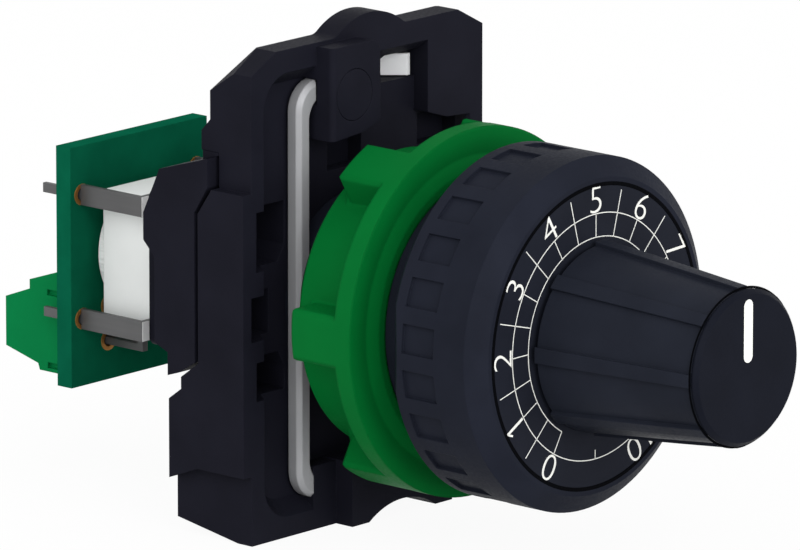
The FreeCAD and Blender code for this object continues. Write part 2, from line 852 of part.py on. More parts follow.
def clamp_screw():
    """Slotted screw behind the foot, with a round tip in it."""
    y0 = clamp_front_y() + clamp_foot_length + seat_fit
    y1 = y0 + clamp_screw_length
    screw = rod(clamp_screw_r, y0, y1, clamp_screw_x, clamp_screw_z)
    screw = screw.fuse(rod(clamp_tip_r, y0 - clamp_tip_length, y0, clamp_screw_x, clamp_screw_z))
    reach = clamp_screw_r * 2
    slot = box(clamp_screw_x - clamp_slot_width / 2, clamp_screw_x + clamp_slot_width / 2,
               y1 - clamp_slot_depth, y1 + past, clamp_screw_z - reach, clamp_screw_z + reach)
    return screw.cut(slot).removeSplitter()


def carrier_outline():
    """The carrier's side outline behind the collar."""
    front_y = carrier_y
    beak_y = front_y + carrier_beak_depth
    cheek_y = front_y + carrier_cheek_depth
    foot_y = front_y + carrier_foot_depth
    nose_y = front_y - carrier_nose_depth
    return [(nose_y, carrier_top), (front_y + carrier_shoulder_depth, carrier_shoulder_z),
            (beak_y, carrier_beak_top), (beak_y, carrier_beak_bottom), (cheek_y, carrier_cheek_top),
            (cheek_y, carrier_cheek_bottom), (foot_y, carrier_cheek_bottom - carrier_foot_chamfer / 2),
            (foot_y, carrier_bottom),
            (foot_y - carrier_foot_chamfer, carrier_bottom + carrier_foot_chamfer / 3),
            (front_y, carrier_seat_bottom), (front_y, carrier_seat_top), (nose_y, carrier_nose_bottom)]


def carrier():
    """Adapter plate with side cheeks and a square tower for the potentiometer."""
    body = side_prism(carrier_outline(), -carrier_half_width, carrier_half_width)
    half = carrier_half_width - carrier_arm_width
    hollow = box(-half, half, carrier_y + carrier_wall, carrier_y + carrier_beak_depth + past,
                 carrier_bottom - past, carrier_top + past)
    tower = rounded_block(-tower_half_width, tower_half_width, carrier_y + carrier_wall, tower_y,
                          -tower_half_height, tower_half_height, tower_corner_r)
    seat = box(-seat_half_width, seat_half_width, carrier_y - carrier_slot, carrier_y + carrier_wall / 2,
               carrier_seat_bottom, carrier_seat_top)
    return body.cut(hollow).fuse(tower).fuse(seat).cut(tower_bores()).removeSplitter()


def plate_front_y():
    """Front of the plate in the tower that the bush is clamped to."""
    return tower_y - bush_plate


def tower_bores():
    """The stepped bore for the nut, the washer and the bush."""
    well = rod(pot_nut_across / math.sqrt(3) + slide_fit, carrier_y - carrier_slot - past, plate_front_y())
    return well.fuse(rod(bush_r + seat_fit, carrier_y, tower_y + past))


def pot_housing():
    """Square potentiometer case, open to the front for its bush plate."""
    y1 = pot_y + pot_depth
    body = rounded_block(-pot_half, pot_half, pot_y, y1, -pot_half, pot_half, pot_edge)
    body = body.fuse(rod(pot_boss_r, y1, y1 + pot_boss_height))
    cavity = rod(pot_half - pot_wall, pot_y - past, y1 - pot_wall)
    mouth = rod(bush_flange_r + seat_fit, pot_y - past, pot_y + bush_flange)
    return body.cut(cavity).cut(mouth).removeSplitter()


def pot_bushing():
    """Flanged bush that the shaft turns in."""
    front_y = tower_y - bush_length
    body = rod(bush_r, front_y, pot_y).fuse(rod(bush_flange_r, tower_y, pot_y + bush_flange))
    return body.cut(rod(shaft_r + running_fit, front_y - past, pot_y + bush_flange + past)).removeSplitter()


def lock_washer():
    """Flat washer under the bush's nut."""
    return tube(washer_r, bush_r + seat_fit, plate_front_y() - washer_thickness, plate_front_y())


def pot_nut():
    """Hexagon nut that clamps the bush to the tower."""
    y1 = plate_front_y() - washer_thickness
    return hexagon(pot_nut_across, y1 - pot_nut_thickness, y1).cut(
        rod(bush_r + seat_fit, y1 - pot_nut_thickness - past, y1 + past))


def pot_rotor_y():
    """Front of the wiper's rotor in the potentiometer."""
    return pot_y + bush_flange + slide_fit


def wiper_rotor():
    """Moulded rotor on the end of the shaft."""
    y0 = pot_rotor_y()
    return rod(rotor_r, y0, y0 + rotor_thickness)


def wiper_contact():
    """Spring strip on the rotor that touches the track."""
    y0 = pot_rotor_y() + rotor_thickness
    half = wiper_width / 2
    strip = box(-half, half, y0, y0 + wiper_thickness, 0, wiper_r)
    finger = box(-half, half, y0, track_y() - running_fit, wiper_r - half, wiper_r)
    return strip.fuse(finger).removeSplitter()


def track_y():
    """Front face of the resistive track."""
    return pot_y + pot_depth - pot_wall - track_thickness


def resistive_track():
    """Horseshoe track on the case's rear wall."""
    y0 = track_y()
    ring = tube(track_r, track_r - wiper_width, y0, y0 + track_thickness)
    gap = sector(360.0 - 2 * knob_turn_each_way - 2 * knob_land_angle, track_r * 3, y0 - past, y0 + past)
    return ring.cut(gap.mirror(V(0, 0, 0), V(0, 0, 1)))


def pot_pin(x):
    """One bent pin from the case down and back into the board."""
    half = pot_pin_half
    y0 = pot_y + pot_depth / 2
    drop = box(x - half, x + half, y0 - half, y0 + half, pot_pin_z - half, -pot_half)
    run = box(x - half, x + half, y0, board_rear_y - slide_fit, pot_pin_z - half, pot_pin_z + half)
    return drop.fuse(run).removeSplitter()


def pot_pins():
    """The case's three pins."""
    return Part.makeCompound([pot_pin(k * pin_pitch) for k in (-1, 0, 1)])


def blade_places():
    """The (side, z) of each support blade."""
    return [(side, z) for side in (-1, 1) for z in (blade_upper_z, blade_lower_z)]


def support_blade(side, z):
    """Flat leg with a tab under the potentiometer and a narrow tail through the board."""
    x0 = side * (blade_x - blade_thickness / 2)
    x1 = side * (blade_x + blade_thickness / 2)
    low, high = min(x0, x1), max(x0, x1)
    half = blade_height / 2
    leg = box(low, high, tower_y, board_y - ring_foil, z - half, z + half)
    tail_half = blade_tail_height / 2
    tail = box(low, high, board_y - past, board_rear_y + blade_tail_length, z - tail_half, z + tail_half)
    inner = side * (blade_x - blade_tab)
    tab = box(min(inner, x1), max(inner, x1), tower_y, pot_y, z - half, z + half)
    flange_room = rod(bush_flange_r + running_fit, tower_y - past, pot_y + past)
    return leg.fuse(tail).fuse(tab).cut(flange_room).removeSplitter()


def support_blades():
    """The four legs between the tower and the board."""
    return Part.makeCompound([support_blade(side, z) for side, z in blade_places()])


def board_holes():
    """The (x, z) of every plated hole in the board."""
    blades = [(side * blade_x, z) for side, z in blade_places()]
    pins = [(k * pin_pitch, z) for k in (-1, 0, 1) for z in (pot_pin_z, pin_z)]
    return blades + pins


def circuit_board():
    """Flat board with its drilled holes."""
    body = box(-board_half_width, board_half_width, board_y, board_rear_y, board_bottom, board_top)
    hole_r = ring_hole_r + ring_foil
    holes = [ring_prism(hole_r, board_y - past, board_rear_y + past, x, z) for x, z in board_holes()]
    return body.cut(Part.makeCompound(holes))


def ring_prism(r, y0, y1, x, z):
    """A round bar of few sides, for the rings that repeat over the board."""
    turns = [2 * math.pi * k / ring_sides for k in range(ring_sides)]
    return front_prism([(x + r * math.cos(turn), z + r * math.sin(turn)) for turn in turns], y0, y1)


def solder_ring(x, z):
    """Plated pad and barrel of one board hole."""
    barrel = ring_prism(ring_hole_r + ring_foil, board_y, board_rear_y, x, z)
    pad = ring_prism(ring_r, board_y - ring_foil, board_y, x, z)
    hole = ring_prism(ring_hole_r, board_y - past, board_rear_y + past, x, z)
    return barrel.fuse(pad).cut(hole).removeSplitter()


def solder_rings():
    """The plating of every hole."""
    return Part.makeCompound([solder_ring(x, z) for x, z in board_holes()])


def terminal_outline():
    """The terminal block's side outline behind the board."""
    y = board_rear_y
    return [(y, terminal_top), (y + terminal_shoulder_height, terminal_shoulder_z),
            (y + terminal_shoulder_height, terminal_step_z), (terminal_rear_y, terminal_face_top),
            (terminal_rear_y, terminal_face_bottom), (y + terminal_toe_height, terminal_toe_z),
            (y + terminal_ledge_height, terminal_bottom), (y, terminal_bottom)]


def pole_x(k):
    """The X of one pole, counted from the middle."""
    return (k - (poles - 1) / 2) * pin_pitch


def head_seat_y():
    """Where a terminal screw's head rests."""
    return terminal_rear_y - screw_head_sink - screw_head_height


def cage_y():
    """The open cage's lowest face."""
    return board_rear_y + cage_floor


def bar_y():
    """The clamp bar's front face: a wire's gap above the open cage's floor."""
    return cage_y() + cage_wall + cage_travel + running_fit


def pole_cutter(x):
    """The room for one screw, cage, bar and wire in the block."""
    wide = cage_half_width + slide_fit
    seat_y = head_seat_y() - running_fit
    half_length = cage_length / 2 + slide_fit
    chamber = box(x - wide, x + wide, cage_y() - slide_fit * 2, seat_y - shoulder_web,
                  screw_z - half_length, screw_z + half_length)
    well = rod(screw_head_r + slide_fit, seat_y, terminal_rear_y + past, x, screw_z)
    hole = rod(screw_shank_r + running_fit, seat_y - shoulder_web - past, seat_y + past, x, screw_z)
    entry_y = cage_y() + cage_wall
    entry = box(x - entry_half_width, x + entry_half_width, entry_y, entry_y + entry_height,
                terminal_bottom - past, screw_z)
    return chamber.fuse(well).fuse(hole).fuse(entry).fuse(bar_room(x))


def bar_room(x):
    """The slot behind the chamber that holds the clamp bar and its pin."""
    return bar_shape(x, seat_fit, board_rear_y - past)


def bar_shape(x, fit, pin_y):
    """The bar through the chamber with its pin to the board, grown by a fit."""
    y0 = bar_y()
    flat = box(x - bar_half_width - fit, x + bar_half_width + fit, y0 - fit, y0 + bar_thickness + fit,
               screw_z - cage_length / 2, pin_z + pin_half + fit)
    half = pin_half + fit
    pin = box(x - half, x + half, pin_y, y0 + bar_thickness + fit, pin_z - half, pin_z + half)
    return flat.fuse(pin)


def side_slots():
    """Two shallow grooves on each side, where a further block would join."""
    cutters = []
    for z in (terminal_step_z, terminal_toe_z):
        for side in (-1, 1):
            x0 = side * (terminal_half_width - side_slot_depth)
            x1 = side * (terminal_half_width + past)
            cutters.append(box(min(x0, x1), max(x0, x1), board_rear_y + side_slot_height,
                               board_rear_y + side_slot_height + side_slot_length,
                               z - side_slot_height / 2, z + side_slot_height / 2))
    return Part.makeCompound(cutters)


def terminal_housing():
    """Green moulding of the terminal block."""
    body = side_prism(terminal_outline(), -terminal_half_width, terminal_half_width)
    for k in range(poles):
        body = body.cut(pole_cutter(pole_x(k)))
    return body.cut(side_slots()).removeSplitter()


def terminal_screw(x):
    """Slotted screw that lifts the cage."""
    y0 = bar_y() + bar_thickness + bar_tip_gap
    y1 = head_seat_y() + screw_head_height
    screw = rod(screw_shank_r, y0, head_seat_y(), x, screw_z).fuse(
        rod(screw_head_r, head_seat_y(), y1, x, screw_z))
    slot = box(x - screw_head_r * 2, x + screw_head_r * 2, y1 - screw_slot_depth, y1 + past,
               screw_z - screw_slot_width / 2, screw_z + screw_slot_width / 2)
    return screw.cut(slot).removeSplitter()


def wire_cage(x):
    """Square cage that draws the wire up to the bar."""
    y0 = cage_y()
    half_length = cage_length / 2
    outer = box(x - cage_half_width, x + cage_half_width, y0, y0 + cage_height,
                screw_z - half_length, screw_z + half_length)
    inner = box(x - cage_half_width + cage_wall, x + cage_half_width - cage_wall, y0 + cage_wall,
                y0 + cage_height - cage_wall, screw_z - half_length - past, screw_z + half_length + past)
    hole = rod(screw_shank_r + running_fit, y0 + cage_wall, y0 + cage_height + past, x, screw_z)
    return outer.cut(inner).cut(hole)


def clamp_bars():
    """Fixed contact bars, each bent into a pin through the board."""
    end_y = board_y + slide_fit
    return Part.makeCompound([bar_shape(pole_x(k), 0, end_y).removeSplitter() for k in range(poles)])


def parts():
    """Every sub-part by its name."""
    shapes = {
        "knob_body": knob_body(),
        "knob_cap": knob_cap(),
        "pointer_inlay": pointer_inlay(),
        "collet": collet(),
        "collet_nut": collet_nut(),
        "control_shaft": control_shaft(),
        "dial_plate": dial_plate(),
        "head_body": head_body(),
        "shaft_seal": shaft_seal(),
        "panel_seal": panel_seal(),
        "fixing_nut": fixing_nut(),
        "spring_frame": spring_frame(),
        "collar_body": collar_body(),
        "clamp_foot": clamp_foot(),
        "clamp_screw": clamp_screw(),
        "latch_spring": latch_spring(),
        "carrier": carrier(),
        "pot_housing": pot_housing(),
        "pot_bushing": pot_bushing(),
        "lock_washer": lock_washer(),
        "pot_nut": pot_nut(),
        "wiper_rotor": wiper_rotor(),
        "wiper_contact": wiper_contact(),
        "resistive_track": resistive_track(),
        "pot_pins": pot_pins(),
        "support_blades": support_blades(),
        "circuit_board": circuit_board(),
        "solder_rings": solder_rings(),
        "terminal_housing": terminal_housing(),
        "clamp_bars": clamp_bars(),
    }
    for k, side in enumerate(("left", "middle", "right")):
        shapes["terminal_screw_" + side] = terminal_screw(pole_x(k))
        shapes["wire_cage_" + side] = wire_cage(pole_x(k))
    return shapes


def main():
    os.makedirs("parts", exist_ok=True)
    for name, shape in parts().items():
        shape.exportStep("parts/" + name + ".step")
        print(name, len(shape.Solids), shape.isValid(), round(shape.Volume, 2))


main()
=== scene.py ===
import logging
import math
from dataclasses import dataclass
from enum import Enum

import bpy
from mathutils import Matrix, Vector


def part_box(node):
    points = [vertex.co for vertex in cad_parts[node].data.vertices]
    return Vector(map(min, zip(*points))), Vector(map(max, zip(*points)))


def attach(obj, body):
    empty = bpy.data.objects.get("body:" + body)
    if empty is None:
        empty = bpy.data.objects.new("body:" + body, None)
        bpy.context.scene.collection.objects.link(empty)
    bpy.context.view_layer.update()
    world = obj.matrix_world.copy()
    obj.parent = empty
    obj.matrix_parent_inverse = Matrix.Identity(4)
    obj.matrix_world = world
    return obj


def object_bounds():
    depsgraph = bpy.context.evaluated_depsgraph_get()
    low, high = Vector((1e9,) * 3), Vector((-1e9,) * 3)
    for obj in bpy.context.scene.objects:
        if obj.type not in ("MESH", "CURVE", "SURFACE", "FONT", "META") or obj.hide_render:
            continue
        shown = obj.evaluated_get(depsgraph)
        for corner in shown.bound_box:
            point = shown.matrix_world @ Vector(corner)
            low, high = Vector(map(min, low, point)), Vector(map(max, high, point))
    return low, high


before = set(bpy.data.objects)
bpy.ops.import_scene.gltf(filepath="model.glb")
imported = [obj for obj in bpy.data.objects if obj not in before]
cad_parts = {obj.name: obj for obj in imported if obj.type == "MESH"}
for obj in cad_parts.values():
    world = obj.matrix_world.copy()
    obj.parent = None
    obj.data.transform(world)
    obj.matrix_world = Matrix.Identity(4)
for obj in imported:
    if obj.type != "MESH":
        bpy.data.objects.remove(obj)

cad_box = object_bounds()
log = logging.getLogger("panel_potentiometer")

Color = tuple[float, float, float]
Socket = bpy.types.NodeSocket
MM = 0.001
BASE = "base"
KNOB = "knob"


class Grain(Enum):
    """How a finish's fine marks run."""

    EVEN = (1.0, 1.0, 1.0)
    ALONG_Y = (1.0, 0.04, 1.0)
    ALONG_Z = (1.0, 1.0, 0.04)


class Wiring:
    """A node tree while it is being wired."""

    def __init__(self, tree: bpy.types.NodeTree) -> None:
        """Takes up a tree.

        Args:
            tree: The material's or world's node tree.
        """
        self.tree = tree

    def add(self, kind: str) -> bpy.types.Node:
        """Adds a node.

        Args:
            kind: The node's type.

        Returns:
            The new node.
        """
        return self.tree.nodes.new(kind)

    def join(self, output: Socket, target: Socket) -> None:
        """Links two sockets.

        Args:
            output: Where the value comes from.
            target: Where it goes.
        """
        self.tree.links.new(output, target)

    def ranged(self, value: Socket, low: float, high: float, source: tuple[float, float] = (0.3, 0.7)) -> Socket:
        """A value fitted to a range.

        Args:
            value: The socket to fit.
            low: The result at the start of the source range.
            high: The result at its end.
            source: The part of the value's range that counts.

        Returns:
            The fitted socket.
        """
        node = self.add("ShaderNodeMapRange")
        node.inputs["From Min"].default_value, node.inputs["From Max"].default_value = source
        node.inputs["To Min"].default_value = low
        node.inputs["To Max"].default_value = high
        self.join(value, node.inputs["Value"])
        return node.outputs["Result"]

    def seen(self) -> Socket:
        """Whether a surface is seen by the camera, in a reflection or through glass.

        Returns:
            A socket that is 1 then, and 0 where the surface only gives light.
        """
        path = self.add("ShaderNodeLightPath")
        total = path.outputs["Is Camera Ray"]
        for kind in ("Is Glossy Ray", "Is Transmission Ray"):
            both = self.add("ShaderNodeMath")
            both.operation = "MAXIMUM"
            self.join(total, both.inputs[0])
            self.join(path.outputs[kind], both.inputs[1])
            total = both.outputs["Value"]
        return total


class SurfaceWiring(Wiring):
    """A material's node tree with the patterns that finishes use."""

    BEVEL_SAMPLES = 4
    CLOUD_DETAIL = 3.0
    GRAIN_DETAIL = 2.0
    RUBBED_TURN = (0.75, 0.98)

    def __init__(self, name: str) -> None:
        """Starts a material with only its shader and output.

        Args:
            name: The material's name.
        """
        self.material = bpy.data.materials.new(name)
        self.material.use_nodes = True
        super().__init__(self.material.node_tree)
        self.shader = self.tree.nodes["Principled BSDF"]
        self.coordinates = self.add("ShaderNodeTexCoord").outputs["Object"]

    def stretched(self, grain: Grain) -> Socket:
        """Object coordinates, drawn out along the grain.

        Args:
            grain: The way that the marks run.

        Returns:
            The coordinate socket.
        """
        mapping = self.add("ShaderNodeMapping")
        mapping.inputs["Scale"].default_value = grain.value
        self.join(self.coordinates, mapping.inputs["Vector"])
        return mapping.outputs["Vector"]

    def noise(self, size: float, detail: float, vector: Socket) -> Socket:
        """A cloudy pattern.

        Args:
            size: How large its blotches are, in metres.
            detail: How many finer layers it has.
            vector: The coordinates that it reads.

        Returns:
            The pattern's value socket, about 0 to 1.
        """
        node = self.add("ShaderNodeTexNoise")
        node.inputs["Scale"].default_value = 1 / size
        node.inputs["Detail"].default_value = detail
        self.join(vector, node.inputs["Vector"])
        return node.outputs["Fac"]

    def mixed(self, factor: Socket, first: Color | Socket, second: Color) -> Socket:
        """Two colours mixed by a factor.

        Args:
            factor: 0 for the first colour and 1 for the second.
            first: The colour at 0, or the socket that gives it.
            second: The colour at 1.

        Returns:
            The mixed colour's socket.
        """
        node = self.add("ShaderNodeMix")
        node.data_type = "RGBA"
        if isinstance(first, tuple):
            node.inputs["A"].default_value = (*first, 1)
        else:
            self.join(first, node.inputs["A"])
        node.inputs["B"].default_value = (*second, 1)
        self.join(factor, node.inputs["Factor"])
        return node.outputs["Result"]

    def soft_edges(self, radius: float) -> Socket:
        """Normals that roll over the edges, as on a moulded or worn corner.

        Args:
            radius: The corner's radius in metres.

        Returns:
            The normal socket.
        """
        node = self.add("ShaderNodeBevel")
        node.samples = self.BEVEL_SAMPLES
        node.inputs["Radius"].default_value = radius
        return node.outputs["Normal"]

    def rubbed(self, rolled: Socket, wear: float) -> Socket:
        """Where the edges are lightened: rubbed by handling, and a painted highlight along them.

        Args:
            rolled: Normals that roll over the edges.
            wear: How strong the rubbing and the painted highlight are, 0 to 1.

        Returns:
            A factor socket, 0 on the faces and up to that strength on the edges.
        """
        face = self.add("ShaderNodeNewGeometry")
        turn = self.add("ShaderNodeVectorMath")
        turn.operation = "DOT_PRODUCT"
        self.join(rolled, turn.inputs[0])
        self.join(face.outputs["Normal"], turn.inputs[1])
        return self.ranged(turn.outputs["Value"], wear, 0.0, source=self.RUBBED_TURN)

    def relief(self, height: Socket, depth: float, normal: Socket) -> None:
        """Bumps on the shader.

        Args:
            height: The bumps' height socket, 0 to 1.
            depth: How deep they are, in metres.
            normal: The normals that they stand on.
        """
        node = self.add("ShaderNodeBump")
        node.inputs["Distance"].default_value = depth
        self.join(height, node.inputs["Height"])
        self.join(normal, node.inputs["Normal"])
        self.join(node.outputs["Normal"], self.shader.inputs["Normal"])


@dataclass(frozen=True)
class Finish:
    """A surface: its colour with cloudy variation, its fine grain and its soft edges, lightened both as rubbed
    wear and as a painted edge highlight.
    """

    name: str
    color: Color
    slot: str = ""
    variation: float = 0.12
    roughness: float = 0.45
    spread: float = 0.08
    specular: float = 0.3
    metallic: float = 0.0
    grain: Grain = Grain.EVEN
    grain_size: float = 0.25 * MM
    grain_depth: float = 0.006 * MM
    edge: float = 0.12 * MM
    wear: float = 0.5
    worn: float = 1.6
    cloud_size: float = 5 * MM

    def shade(self, factor: float) -> Color:
        """The colour made lighter or darker.

        Args:
            factor: What each channel is multiplied by.

        Returns:
            The new colour.
        """
        return tuple(min(1.0, channel * factor) for channel in self.color)

    def build(self) -> bpy.types.Material:
        """Wires the finish.

        Returns:
            The material.
        """
        wiring = SurfaceWiring(self.name)
        shader = wiring.shader.inputs
        rolled = wiring.soft_edges(self.edge)
        blotches = wiring.noise(self.cloud_size, wiring.CLOUD_DETAIL, wiring.coordinates)
        cloud = wiring.ranged(blotches, 0, 1)
        color = wiring.mixed(cloud, self.shade(1 - self.variation), self.shade(1 + self.variation))
        # lighter edges: partly rubbed wear, partly a painted highlight along the edges
        color = wiring.mixed(wiring.rubbed(rolled, self.wear), color, self.shade(self.worn))
        wiring.join(color, shader["Base Color"])
        shader["Metallic"].default_value = self.metallic
        shader["Specular IOR Level"].default_value = self.specular
        fine = wiring.noise(self.grain_size, wiring.GRAIN_DETAIL, wiring.stretched(self.grain))
        rough = wiring.ranged(fine, self.roughness - self.spread, self.roughness + self.spread)
        wiring.join(rough, shader["Roughness"])
        wiring.relief(fine, self.grain_depth, rolled)
        return wiring.material


KNOB_BLACK = Finish("knob_black", (0.0122, 0.0142, 0.0215), roughness=0.45, specular=0.03)
# painted shade: a darker copy of the knob's black for the cap, which faces the front lamp
CAP_BLACK_SHADED = Finish("cap_black_painted_shade", (0.0058, 0.0068, 0.0115), slot="knob_black", roughness=0.45, specular=0.03)
DIAL_BLACK = Finish("dial_black", (0.0106, 0.0121, 0.0184), roughness=0.5, specular=0.03)
HEAD_BLACK = Finish("head_black", (0.0112, 0.0129, 0.0203), roughness=0.5, specular=0.02)
COLLAR_BLACK = Finish("collar_black", (0.0088, 0.0089, 0.0142), roughness=0.5, specular=0.02)
PRINT_WHITE = Finish("print_white", (0.74, 0.74, 0.70), variation=0.03, roughness=0.5, edge=0.02 * MM, worn=1.05)
NUT_GREEN = Finish("nut_green", (0.0008, 0.113, 0.0200), variation=0.05, roughness=0.5, specular=0.02,
                   edge=0.35 * MM, worn=1.2)
TERMINAL_GREEN = Finish("terminal_green", (0.0010, 0.162, 0.045), variation=0.06, specular=0.02, worn=1.25)
BOARD_GREEN = Finish("board_green", (0.0025, 0.089, 0.045), variation=0.12, roughness=0.5, specular=0.0, worn=1.4,
                     cloud_size=3 * MM)
STEEL = Finish("steel", (0.32, 0.322, 0.335), variation=0.05, metallic=0.3, roughness=0.5, grain=Grain.ALONG_Z,
               edge=0.2 * MM, worn=1.3)
SCREW_STEEL = Finish("screw_steel", (0.5, 0.5, 0.52), metallic=1.0, roughness=0.35, worn=1.2)
TINNED = Finish("tinned_metal", (0.108, 0.108, 0.110), variation=0.06, metallic=0.6, roughness=0.5,
                grain=Grain.ALONG_Y, worn=1.3)
# painted highlight: a much lighter copy of the steel finish, for the light that the latch spring catches
STEEL_HIGHLIGHT = Finish("steel_painted_highlight", (0.78, 0.78, 0.80), slot="steel", variation=0.05, metallic=0.2,
                      roughness=0.4, grain=Grain.ALONG_Z, worn=1.3)
# painted highlight: a near-white copy of the tinned finish for the lit front ends of the blades
TINNED_HIGHLIGHT = Finish("tinned_painted_highlight", (0.90, 0.90, 0.90), slot="tinned_metal", variation=0.05, metallic=0.0,
                       roughness=0.45, grain=Grain.ALONG_Z, worn=1.1)
BRASS = Finish("brass", (0.62, 0.44, 0.16), metallic=1.0, roughness=0.3, grain=Grain.ALONG_Y, worn=1.2)
ALUMINIUM = Finish("aluminium", (0.6, 0.61, 0.63), metallic=1.0, roughness=0.34, grain=Grain.ALONG_Y, worn=1.2)
COPPER = Finish("copper", (0.34, 0.16, 0.04), metallic=0.8, roughness=0.4, worn=1.3)
POT_WHITE = Finish("pot_white", (0.72, 0.74, 0.73), variation=0.04, roughness=0.5, specular=0.1, worn=1.1)
# black of the resistive track, used also for the painted shade rings round the knob's cap and the dial
TRACK_AND_SHADE_BLACK = Finish("track_black", (0.0020, 0.0022, 0.0030), roughness=0.7, specular=0.01)
RUBBER = Finish("rubber", (0.012, 0.012, 0.013), roughness=0.8, specular=0.2)


class PaintShop:
    """Makes each finish once and puts it on pieces."""

    def __init__(self) -> None:
        """Starts with no finish made."""
        self.made: dict[str, bpy.types.Material] = {}

    def material(self, finish: Finish) -> bpy.types.Material:
        """The finish's material.

        Args:
            finish: The finish.

        Returns:
            Its material, made at the first call.
        """
        if finish.name not in self.made:
            self.made[finish.name] = finish.build()
        return self.made[finish.name]

    def dress(self, finish: Finish, *nodes: str) -> None:
        """Gives CAD nodes their finish.

        Args:
            finish: The finish.
            nodes: The nodes' names.
        """
        for name in nodes:
            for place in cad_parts[name].material_slots:
                place.material = self.material(finish)
            log.info("dressed %s in %s", name, finish.name)

    def give(self, piece: bpy.types.Object, finish: Finish, body: str) -> None:
        """Gives a new piece its finish and its body.

        Args:
            piece: The piece.
            finish: The finish, named as its slot in the record if it gives no other.
            body: The CAD body that it rides on.
        """
        piece.data.materials.clear()
        piece.data.materials.append(self.material(finish))
        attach(piece, body)
        log.info("built %s with %d faces", piece.name, len(piece.data.polygons))


class Bench:
    """Modelling steps with Blender's own operators."""

    RING_STEPS = 150
    BEVEL_STEPS = 2

    @staticmethod
    def clear() -> None:
        """Deselects everything."""
        bpy.ops.object.select_all(action="DESELECT")

    @staticmethod
    def pick(pieces: list[bpy.types.Object]) -> None:
        """Selects only these pieces, with the first one active.

        Args:
            pieces: What to select.
        """
        Bench.clear()
        for piece in pieces:
            piece.select_set(True)
        bpy.context.view_layer.objects.active = pieces[0]

    @staticmethod
    def settle(piece: bpy.types.Object) -> None:
        """Moves a piece's place into its mesh.

        Args:
            piece: The piece.
        """
        Bench.pick([piece])
        bpy.ops.object.transform_apply(location=True, rotation=True, scale=True)

    @staticmethod
    def turn(piece: bpy.types.Object, degrees: float) -> None:
        """Turns a piece's mesh about the knob's axis, clockwise from the front.

        Args:
            piece: A settled piece.
            degrees: How far it turns.
        """
        piece.data.transform(Matrix.Rotation(math.radians(degrees), 4, "Y"))

    @staticmethod
    def joined(pieces: list[bpy.types.Object], name: str) -> bpy.types.Object:
        """Joins pieces into one.

        Args:
            pieces: What to join.
            name: The result's name.

        Returns:
            The joined piece.
        """
        Bench.pick(pieces)
        bpy.ops.object.join()
        piece = bpy.context.active_object
        piece.name = name
        piece.data.name = name
        return piece

    @staticmethod
    def slab(low: Vector, high: Vector, bevel: float) -> bpy.types.Object:
        """A rectangular plate with bevelled edges.

        Args:
            low: Its lowest corner.
            high: Its highest corner.
            bevel: The bevel's width.

        Returns:
            The plate's mesh object.
        """
        Bench.clear()
        bpy.ops.mesh.primitive_cube_add(size=1, location=(low + high) / 2)
        piece = bpy.context.active_object
        piece.scale = high - low
        Bench.settle(piece)
        bpy.ops.object.mode_set(mode="EDIT")
        bpy.ops.mesh.select_all(action="SELECT")
        bpy.ops.mesh.bevel(offset=bevel, segments=Bench.BEVEL_STEPS, affect="EDGES")
        bpy.ops.object.mode_set(mode="OBJECT")
        return piece

    @staticmethod
    def trim(piece: bpy.types.Object, point: Vector, normal: Vector) -> None:
        """Cuts off what lies beyond a plane and closes the cut.

        Args:
            piece: A settled piece.
            point: A point on the plane.
            normal: The way to what is cut off.
        """
        Bench.pick([piece])
        bpy.ops.object.mode_set(mode="EDIT")
        bpy.ops.mesh.select_all(action="SELECT")
        bpy.ops.mesh.bisect(plane_co=point, plane_no=normal, use_fill=True, clear_outer=True)
        bpy.ops.object.mode_set(mode="OBJECT")

    @staticmethod
    def ring(radius: float, width: float, front: float, thickness: float, start: float = 0.0,
             sweep: float = 360.0) -> bpy.types.Object:
        """A thin flat ring or arc round the knob's axis, spun from its section.

        Args:
            radius: The middle radius.
            width: How wide the ring is.
            front: Where its front face lies along the axis.
            thickness: How far it reaches back.
            start: Where it starts, in degrees clockwise from the top.
            sweep: How far it goes round, in degrees anticlockwise.

        Returns:
            The ring's mesh object.
        """
        Bench.clear()
        bpy.ops.mesh.primitive_plane_add(size=1, location=(0, front + thickness / 2, radius),
                                         rotation=(0, math.radians(90), 0))
        piece = bpy.context.active_object
        piece.scale = (width, thickness, 1)
        Bench.settle(piece)
        Bench.turn(piece, start)
        bpy.ops.object.mode_set(mode="EDIT")
        bpy.ops.mesh.select_all(action="SELECT")
        bpy.ops.mesh.spin(steps=Bench.RING_STEPS, angle=math.radians(sweep), center=(0, 0, 0), axis=(0, 1, 0))
        bpy.ops.mesh.select_all(action="SELECT")
        bpy.ops.mesh.remove_doubles(threshold=thickness / 10)
        bpy.ops.mesh.normals_make_consistent(inside=False)
        bpy.ops.object.mode_set(mode="OBJECT")
        return piece


@dataclass
class SubAssembly:
    """Pieces that are made and dressed together."""

    shop: PaintShop

    def build(self) -> None:
        """Dresses the CAD nodes and makes the new pieces."""
        raise NotImplementedError


@dataclass
class Knob(SubAssembly):
    """The fluted knob with its pointer line, its collet and the shaft that it turns."""

    seam_r: float = 6.42 * MM
    seam_width: float = 0.2 * MM
    seam_film: float = 0.02 * MM

    def build(self) -> None:
        """Dresses the knob and paints a dark ring of shade round its cap, where the body's front face lies in
        shadow.
        """
        self.shop.dress(KNOB_BLACK, "knob_body")
        self.shop.dress(CAP_BLACK_SHADED, "knob_cap")
        self.shop.dress(PRINT_WHITE, "pointer_inlay")
        self.shop.dress(BRASS, "collet")
        self.shop.dress(SCREW_STEEL, "collet_nut")
        self.shop.dress(ALUMINIUM, "control_shaft")
        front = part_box("knob_body")[0][1]
        # painted shade: a thin black ring on the body's front face round the cap
        cap_shade = Bench.ring(self.seam_r, self.seam_width, front - self.seam_film, self.seam_film)
        cap_shade.name = "cap_painted_shade"
        self.shop.give(cap_shade, TRACK_AND_SHADE_BLACK, KNOB)


